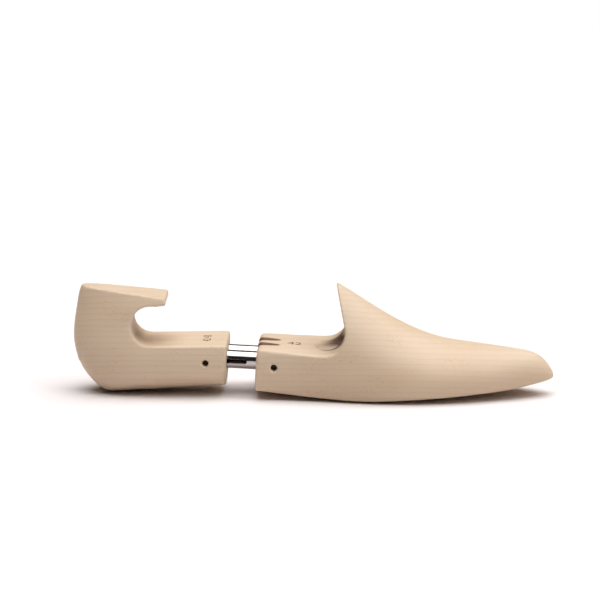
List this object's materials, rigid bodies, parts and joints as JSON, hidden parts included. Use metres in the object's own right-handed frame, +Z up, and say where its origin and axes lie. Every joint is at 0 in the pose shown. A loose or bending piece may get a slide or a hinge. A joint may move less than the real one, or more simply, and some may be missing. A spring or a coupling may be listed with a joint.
{
  "type": "shoe tree",
  "caption": "Two-part lasted wooden shoe tree: a heel block with a hooked handle slides on sprung steel tubes towards a full forepart.",
  "frame": {"origin": "middle of the tree's length and width on the surface its soles rest on", "axes": "+X from the heel to the toe, +Y towards the side of the ball that stands out more, +Z up"},
  "size_m": [0.2961, 0.0728, 0.0694],
  "materials": {
    "forepart_beech": "fine-sanded pale beech, open-pored satin, eased edges",
    "heel_beech": "fine-sanded pale beech, open-pored satin, eased edges",
    "tube_nickel": "bright nickel-plated steel tube",
    "pin_steel": "plain drawn steel pin",
    "spring_steel": "oiled spring steel wire",
    "seat_nylon": "natural turned nylon"
  },
  "bodies": {
    "forepart_body": {"forepart": "forepart_beech", "tube_near": "tube_nickel", "tube_far": "tube_nickel", "spring_seat_near": "seat_nylon", "spring_seat_far": "seat_nylon", "forepart_pin_near": "pin_steel", "forepart_pin_far": "pin_steel"},
    "heel_body": {"heel_block": "heel_beech", "heel_pin_near": "pin_steel", "heel_pin_far": "pin_steel", "spring_near": "spring_steel", "spring_far": "spring_steel"}
  },
  "joints": [
    {"name": "heel_slide", "type": "slide", "parent": "forepart_body", "child": "heel_body", "axis": [0.999, 0, -0.0436], "range_m": [0, 0.018], "stiffness_N_per_m": 1500, "springref_m": -0.01, "deforming": ["spring_near", "spring_far"]}
  ]
}
